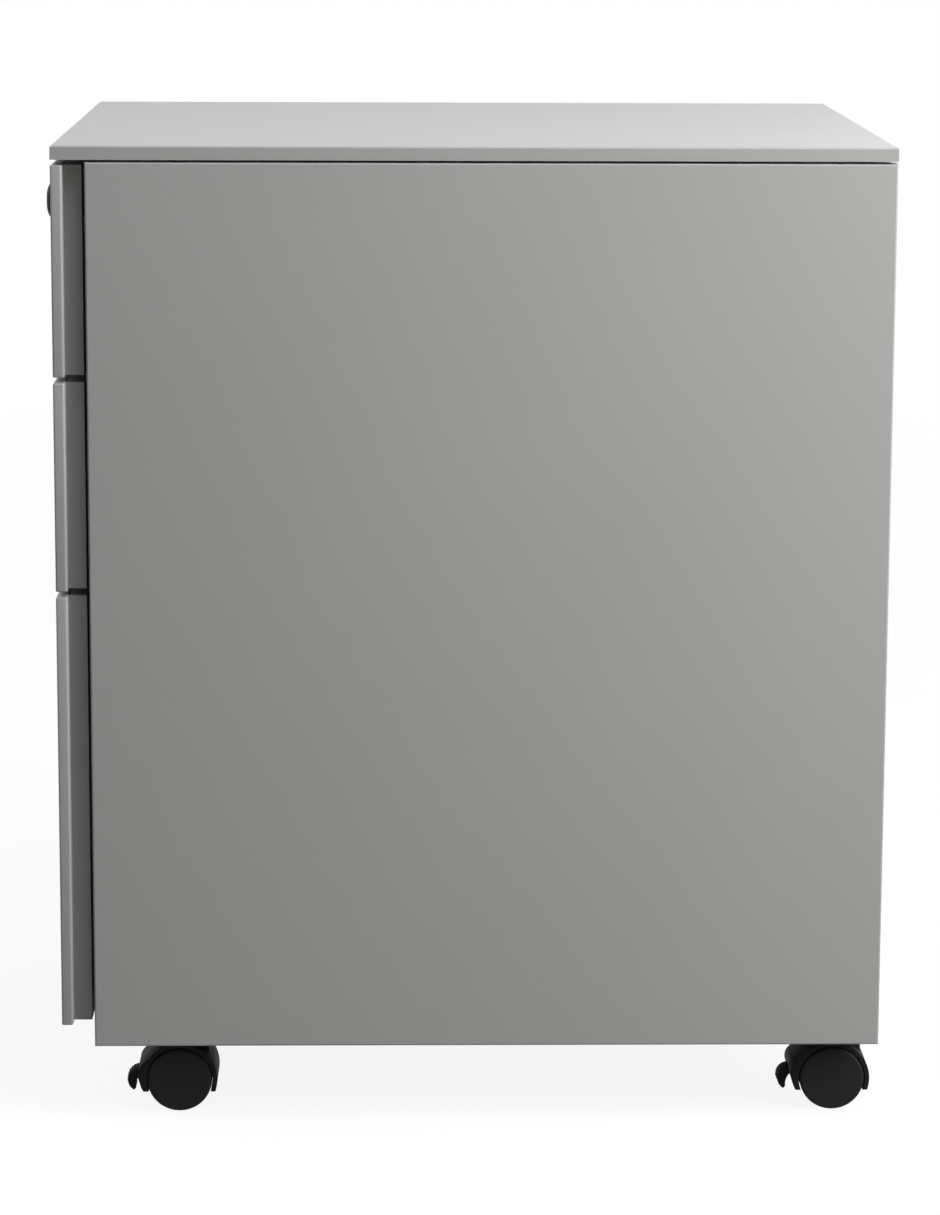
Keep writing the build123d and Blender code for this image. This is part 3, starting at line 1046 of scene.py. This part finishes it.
@dataclass
class DrawerUnit(SubAssembly):
    """One drawer: its front, liner, tray, inner slides and lug, and the runner that follows it."""

    trees: Trees
    row: Row
    screw: HeadSize = HeadSize(radius=3.2 * mm, edge=0.4 * mm, dome=0.7 * mm, recess=0.9 * mm)
    rivet: HeadSize = HeadSize(radius=3.4 * mm, edge=0.35 * mm, dome=0.9 * mm)
    wall: float = 0.8 * mm
    web: float = 1.0 * mm
    side_screws: int = 3
    front_screws: int = 2
    front_levels: tuple[float, float] = (0.28, 0.72)
    end_fold: float = 0.9 * mm
    end_flats: int = 3
    end_profile: float = 0.5
    end_slack: float = 0.01 * mm
    access_hole: float = 11 * mm
    slot_high: float = 5 * mm
    slot_long: float = 15 * mm
    hole_pitch: float = 96 * mm
    hole_start: float = 38 * mm
    holes_along: int = 5

    parts = ("front", "liner", "tray", "slide_inner", "lock_lug", "slide_middle")

    def named(self, part: str) -> str:
        """The name of one of this drawer's nodes, bodies or pieces."""
        return f"{part}_{self.row.value}"

    def front(self) -> Piece:
        """The front plate with the folds of its upper and lower ends rounded.

        Returns:
            The piece.
        """
        node = self.named("front")
        low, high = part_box(node)
        work = merged(node)
        ends = [edge for edge in work.edges for level in (low.z, high.z)
                if all(abs(vert.co.z - level) < self.end_slack for vert in edge.verts)]
        bmesh.ops.bevel(
            work, geom=ends, affect="EDGES", offset=self.end_fold, offset_type="OFFSET",
            segments=self.end_flats, profile=self.end_profile, clamp_overlap=False)
        name = f"{node}_plate"
        plate = new_object(name, smooth(as_mesh(work, name), SHARP_COPY))
        return as_piece(plate, self.named("drawer"), Slot.DRAWER, node)

    def side_places(self, inset: float) -> Places:
        """Where heads sit along both sides of the tray, level with the slides.

        Args:
            inset: how far inside the tray's outer face they sit, facing inwards; below 0, outside it.

        Returns:
            The places and the ways that they face.
        """
        low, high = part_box(self.named("tray"))
        slide_low, slide_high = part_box(self.named("slide_inner"))
        level = (slide_low.z + slide_high.z) / 2
        turn = math.copysign(1.0, inset)
        return [(Vector((face + inward * inset, y, level)), Vector((inward * turn, 0, 0)))
                for face, inward in ((low.x, 1), (high.x, -1))
                for y in middles(low.y, high.y, self.side_screws)]

    def slide_rivets(self) -> Piece:
        """Rivet heads on the drawer members, outside the tray's screws."""
        places = self.side_places(-self.web)
        return self.trees.rivets.fix(self.named("slide_rivets"), places, self.rivet, self.named("drawer"))

    def tray_screws(self) -> Piece:
        """Screw heads inside the tray, through its sides to the slides and through its front to the liner.

        Returns:
            The piece.
        """
        low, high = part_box(self.named("tray"))
        places = self.side_places(self.wall)
        for x in middles(low.x, high.x, self.front_screws):
            for share in self.front_levels:
                z = low.z + (high.z - low.z) * share
                places.append((Vector((x, low.y + self.wall, z)), Vector((0, 1, 0))))
        return self.trees.heads.fix(self.named("tray_screws"), places, self.screw, self.named("drawer"))

    def runner(self) -> Piece:
        """The pair of middle members with their access holes and slots punched through.

        Returns:
            The piece.
        """
        node = self.named("slide_middle")
        low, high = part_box(node)
        strips = as_mesh(merged(node), f"{node}_strips")
        start = low.y + self.hole_start
        row = {"Pitch": self.hole_pitch, "Level": (low.z + high.z) / 2, "Reach": high.x + self.access_hole}
        name = f"{self.named('runner')}_punched"
        holed = self.trees.holes.run(name, strips, Slot.ZINC, {
            **row, "Count": self.holes_along, "Start": start,
            "Long": self.access_hole, "High": self.access_hole})
        mesh = holed.data
        bpy.data.objects.remove(holed)
        punched = self.trees.holes.run(name, mesh, Slot.ZINC, {
            **row, "Count": self.holes_along - 1, "Start": start + self.hole_pitch / 2,
            "Long": self.slot_long, "High": self.slot_high})
        return as_piece(punched, self.named("runner"), Slot.ZINC, node)

    def build(self) -> list[Piece]:
        """Dresses the drawer, folds its front's ends, punches its runner and adds the fixings.

        Returns:
            The dressed nodes and the new pieces.
        """
        rails = ["file_rails"] if self.row is Row.LOWER else []
        dressed = dress(*(self.named(part) for part in self.parts), *rails)
        return [*dressed, self.front(), self.runner(), self.slide_rivets(), self.tray_screws()]


@dataclass
class CentralLock(SubAssembly):
    """The lock in the upper front: a domed black barrel, a plated plug, its crank and the lock bar.

    The dome's points are shares of the way from the bezel's start to its front, and of the radius.
    """

    bezel_start: float = 1.8 * mm
    bezel_flat: float = 5.9 * mm
    dome: tuple[tuple[float, float], ...] = ((0.45, 0.88), (0.8, 0.73))
    shoulder_round: float = 0.6 * mm
    dome_round: float = 1.2 * mm
    flat_round: float = 0.4 * mm
    bore_round: float = 0.15 * mm
    bore_depth: float = 1.5 * mm
    bore_gap: float = 0.1 * mm
    barrel_steps: int = 72
    plug_edge: float = 0.35 * mm

    def barrel(self) -> Piece:
        """The barrel as one turned piece, whose front is a dome round the plug.

        Returns:
            The piece.
        """
        low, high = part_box("lock_housing")
        plug_low, plug_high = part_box("lock_plug")
        centre = Vector(((low.x + high.x) / 2, 0, (low.z + high.z) / 2))
        radius, bore = (high.x - low.x) / 2, (plug_high.x - plug_low.x) / 2 + self.bore_gap
        back, front = -high.y, -low.y
        start = self.bezel_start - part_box("front_upper")[0].y
        rise = front - start
        profile = rounded((
            (back, bore, 0), (back, radius, 0), (start, radius, self.shoulder_round),
            *((start + up * rise, out * radius, self.dome_round) for up, out in self.dome),
            (front, self.bezel_flat, self.flat_round), (front, bore, self.bore_round),
            (front - self.bore_depth, bore, 0), (back, bore, 0)))
        mesh = lathe("lock_barrel", profile, centre, Axis.FORWARD, self.barrel_steps)
        return as_piece(new_object("lock_barrel", mesh), "drawer_upper", Slot.LOCK, "lock_housing")

    def plug(self) -> Piece:
        """The plug with its edges broken."""
        return as_piece(softened("lock_plug", self.plug_edge), "key_plug", Slot.NICKEL, "lock_plug")

    def build(self) -> list[Piece]:
        """Dresses the lock and makes the barrel and the plug."""
        dressed = dress("lock_housing", "lock_plug", "lock_crank", "lock_bar")
        return [*dressed, self.barrel(), self.plug()]


@dataclass
class CastorUnit(SubAssembly):
    """One twin-wheel castor: hood, wheels on their axle, and the brake pedal with its grip ribs.

    The chamfer is of the wheels' inner edges, along the axle and towards it. The ribs lie between two
    angles in degrees above the level, seen from the middle of the pedal's rear side.
    """

    trees: Trees
    corner: Corner
    wheel_gap: float = 8.4 * mm
    axle: float = 2.85 * mm
    chamfer: tuple[float, float] = (0.9 * mm, 1.2 * mm)
    chamfer_round: float = 0.6 * mm
    tread_round: float = 0.5 * mm
    tread_fade: tuple[float, float] = (1.0 * mm, 0.1 * mm)
    rim_round: float = 2.0 * mm
    rim_flat: float = 1.0 * mm
    dish: float = 0.5 * mm
    dish_round: float = 0.3 * mm
    wheel_steps: int = 96
    hood_edge: float = 0.55 * mm
    pedal_edge: float = 0.5 * mm
    rib_radius: float = 0.45 * mm
    rib_pitch: float = 1.9 * mm
    rib_inset: float = 1.2 * mm
    rib_from: float = -5.0
    rib_to: float = 48.0

    def named(self, part: str) -> str:
        """The name of one of this castor's nodes, bodies or pieces."""
        return f"{part}_{self.corner.value}"

    def wheels(self) -> Piece:
        """Both wheels and their axle as one turned piece with rounded rims and slightly dished faces.

        Returns:
            The piece.
        """
        node = self.named("castor_wheels")
        low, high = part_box(node)
        centre, radius, half = (low + high) / 2, (high.z - low.z) / 2, (high.x - low.x) / 2
        inner = self.wheel_gap / 2
        along, down = self.chamfer
        outward = rounded((
            (inner, self.axle, 0), (inner, radius - down, self.chamfer_round),
            (inner + along, radius, self.tread_round), (half, radius, self.rim_round),
            (half, radius - self.rim_round - self.rim_flat, self.dish_round), (half - self.dish, 0, 0)))
        profile = [(-x, r) for x, r in reversed(outward)] + outward
        tread = tuple(radius - below for below in self.tread_fade)
        name = self.named("wheel_pair")
        mesh = lathe(name, profile, centre, Axis.ACROSS, self.wheel_steps, tread)
        return as_piece(new_object(name, mesh), self.named("wheels"), Slot.WHEEL, node)

    def soft_piece(self, part: str, body: str, edge: float) -> Piece:
        """A moulded part with its edges broken edge metres wide, on one of this castor's bodies."""
        node = self.named(part)
        return as_piece(softened(node, edge), self.named(body), Slot.CASTOR, node)

    def crown_edge(self) -> list[Vector]:
        """The pedal's outer edge from its nose to its crown, in the middle of its width.

        Returns:
            Points along the edge.
        """
        node = self.named("brake_pedal")
        low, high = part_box(node)
        centre = (low + high) / 2
        flat = [vert.co.yz for vert in frame["nodes"][node].data.vertices]
        arms = {}
        for y, z in (flat[index] for index in convex_hull_2d(flat)):
            arms[math.degrees(math.atan2(z - centre.z, high.y - y))] = Vector((centre.x, y, z))
        return [arms[angle] for angle in sorted(arms) if self.rib_from <= angle <= self.rib_to]

    def ribs(self) -> Piece:
        """Grip ribs across the pedal's crown, along its outer edge.

        Returns:
            The piece.
        """
        low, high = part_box(self.named("brake_pedal"))
        name = self.named("pedal_ribs")
        ribs = self.trees.ribs.run(name, line_mesh(name, self.crown_edge()), Slot.CASTOR, {
            "Length": high.x - low.x - 2 * self.rib_inset,
            "Radius": self.rib_radius, "Pitch": self.rib_pitch})
        return as_piece(ribs, self.named("brake"), Slot.CASTOR)

    def build(self) -> list[Piece]:
        """Dresses the castor and makes its wheels, hood, pedal and ribs.

        Returns:
            The dressed nodes and the new pieces.
        """
        dressed = dress(*(self.named(part) for part in ("castor_housing", "castor_wheels", "brake_pedal")))
        return [
            *dressed,
            self.wheels(),
            self.soft_piece("castor_housing", "castor", self.hood_edge),
            self.soft_piece("brake_pedal", "brake", self.pedal_edge),
            self.ribs(),
        ]


# Studio


@dataclass(frozen=True)
class Lamp:
    """A square soft box, its side in metres and its power in watts."""

    name: str
    place: Triple
    aim: Triple
    side: float
    power: float
    colour: Triple = (1.0, 1.0, 1.0)

    def build(self) -> None:
        """Hangs the lamp and points it."""
        data = bpy.data.lights.new(self.name, "AREA")
        data.shape, data.size, data.energy, data.color = "SQUARE", self.side, self.power, self.colour
        lamp = bpy.data.objects.new(self.name, data)
        lamp.location = self.place
        lamp.rotation_euler = (Vector(self.aim) - Vector(self.place)).to_track_quat("-Z", "Y").to_euler()
        bpy.context.scene.collection.objects.link(lamp)


@dataclass
class Studio:
    """The white floor, the light and the camera.

    The camera's place, its angles in degrees and its lens are fitted to the corners of the side and the
    top in the photograph.
    """

    floor_half: float = 9.0
    floor_parts: int = 4
    floor_paint: float = 0.95
    floor_bounce: float = 0.2
    near_white: float = 0.9
    near_reach: float = 0.8
    far_reach: float = 3.0
    ambient: float = 0.035
    camera_place: Triple = (2.4062, -0.0488, 0.7732)
    camera_turn: float = 1.252
    camera_tip: float = 9.636
    camera_roll: float = 0.248
    lens: float = 111.34
    sensor: float = 36.0
    shift: float = -0.1
    sight: float = 50.0
    lamps: tuple[Lamp, ...] = (
        Lamp("key", place=(0.88, 1.16, 0.98), aim=(0.1, 0.0, 0.3), side=0.8, power=27.0),
        Lamp("over", place=(0.8, 0.45, 2.35), aim=(0.1, 0.0, 0.5), side=1.0, power=25.5,
             colour=(0.93, 0.95, 1.0)),
        Lamp("front_fill", place=(-0.8, -2.2, 2.1), aim=(0.0, 0.0, 0.3), side=2.4, power=45.0),
        Lamp("back_fill", place=(-1.9, 1.6, 1.6), aim=(0.0, 0.0, 0.3), side=2.4, power=34.0),
    )

    @staticmethod
    def seen(book: NodeBook) -> Value:
        """One for a ray that comes straight from the camera, from a reflection or through glass.

        Args:
            book: the tree that asks.

        Returns:
            The value.
        """
        path = book.node("ShaderNodeLightPath")
        camera, glossy, through = (
            book.out(path, f"Is {kind} Ray") for kind in ("Camera", "Glossy", "Transmission"))
        return (camera + glossy + through).clamped()

    def floor(self) -> None:
        """A wide white floor, which keeps a little shadow near the object and sends up little light."""
        work = bmesh.new()
        bmesh.ops.create_grid(
            work, x_segments=self.floor_parts, y_segments=self.floor_parts, size=self.floor_half)
        mesh = as_mesh(work, "floor")
        material = bpy.data.materials.new("floor_white")
        book = NodeBook.blank(material)
        seen = self.seen(book)
        where = book.node("ShaderNodeSeparateXYZ", {}, {"Vector": book.place()})
        x, y = book.out(where, "X"), book.out(where, "Y")
        away = (((x * x + y * y).root() - self.near_reach) / (self.far_reach - self.near_reach)).clamped()
        share = self.near_white + away * (1.0 - self.near_white)
        matt = book.node("ShaderNodeBsdfDiffuse", {}, {
            "Color": book.tint(seen, (self.floor_bounce,) * 3, (self.floor_paint,) * 3)})
        white = book.node("ShaderNodeEmission", {}, {"Color": WHITE, "Strength": 1.0})
        mixed = book.node("ShaderNodeMixShader", {}, {0: seen * share, 1: matt, 2: white})
        book.node("ShaderNodeOutputMaterial", {}, {"Surface": mixed})
        mesh.materials.append(material)
        new_object("floor", mesh)

    def world(self) -> None:
        """White where it is seen, and a low even light elsewhere."""
        world = bpy.data.worlds.new("studio")
        book = NodeBook.blank(world)
        strength = self.seen(book) * (1.0 - self.ambient) + self.ambient
        back = book.node("ShaderNodeBackground", {}, {"Color": WHITE, "Strength": strength})
        book.node("ShaderNodeOutputWorld", {}, {"Surface": back})
        bpy.context.scene.world = world

    def camera(self) -> None:
        """The camera, square on to the right side and a little above the top."""
        turn, tip, roll = (math.radians(a) for a in (self.camera_turn, self.camera_tip, self.camera_roll))
        ahead = Vector((-math.cos(tip) * math.cos(turn), math.cos(tip) * math.sin(turn), -math.sin(tip)))
        right = ahead.cross(Vector((0, 0, 1))).normalized()
        up = right.cross(ahead)
        level = math.cos(roll) * right + math.sin(roll) * up
        upright = math.cos(roll) * up - math.sin(roll) * right
        data = bpy.data.cameras.new("camera")
        data.lens, data.sensor_width, data.sensor_fit = self.lens, self.sensor, "AUTO"
        data.shift_y = self.shift
        data.clip_end = self.sight
        camera = bpy.data.objects.new("camera", data)
        camera.matrix_world = (Matrix.Translation(self.camera_place)
                               @ Matrix((level, upright, -ahead)).transposed().to_4x4())
        bpy.context.scene.collection.objects.link(camera)
        bpy.context.scene.camera = camera

    def build(self) -> None:
        """Sets up the studio."""
        bpy.context.scene.view_settings.view_transform = "Standard"
        self.floor()
        self.world()
        self.camera()
        for lamp in self.lamps:
            lamp.build()


def main() -> None:
    """Builds the sub-assemblies in order, reports each piece and sets up the studio."""
    logging.basicConfig(level=logging.INFO, format="%(name)s: %(message)s")
    trees = Trees(PanHeads(), RivetHeads(), PunchedHoles(), GripRibs())
    units: list[SubAssembly] = [
        CabinetBody(trees),
        *(DrawerUnit(trees, row) for row in Row),
        CentralLock(),
        *(CastorUnit(trees, corner) for corner in Corner),
    ]
    for unit in units:
        for piece in unit.build():
            log.info("%s: %s in %s", type(unit).__name__, piece.name, piece.active_material.name)
    Studio().build()


if __name__ == "__main__":
    main()
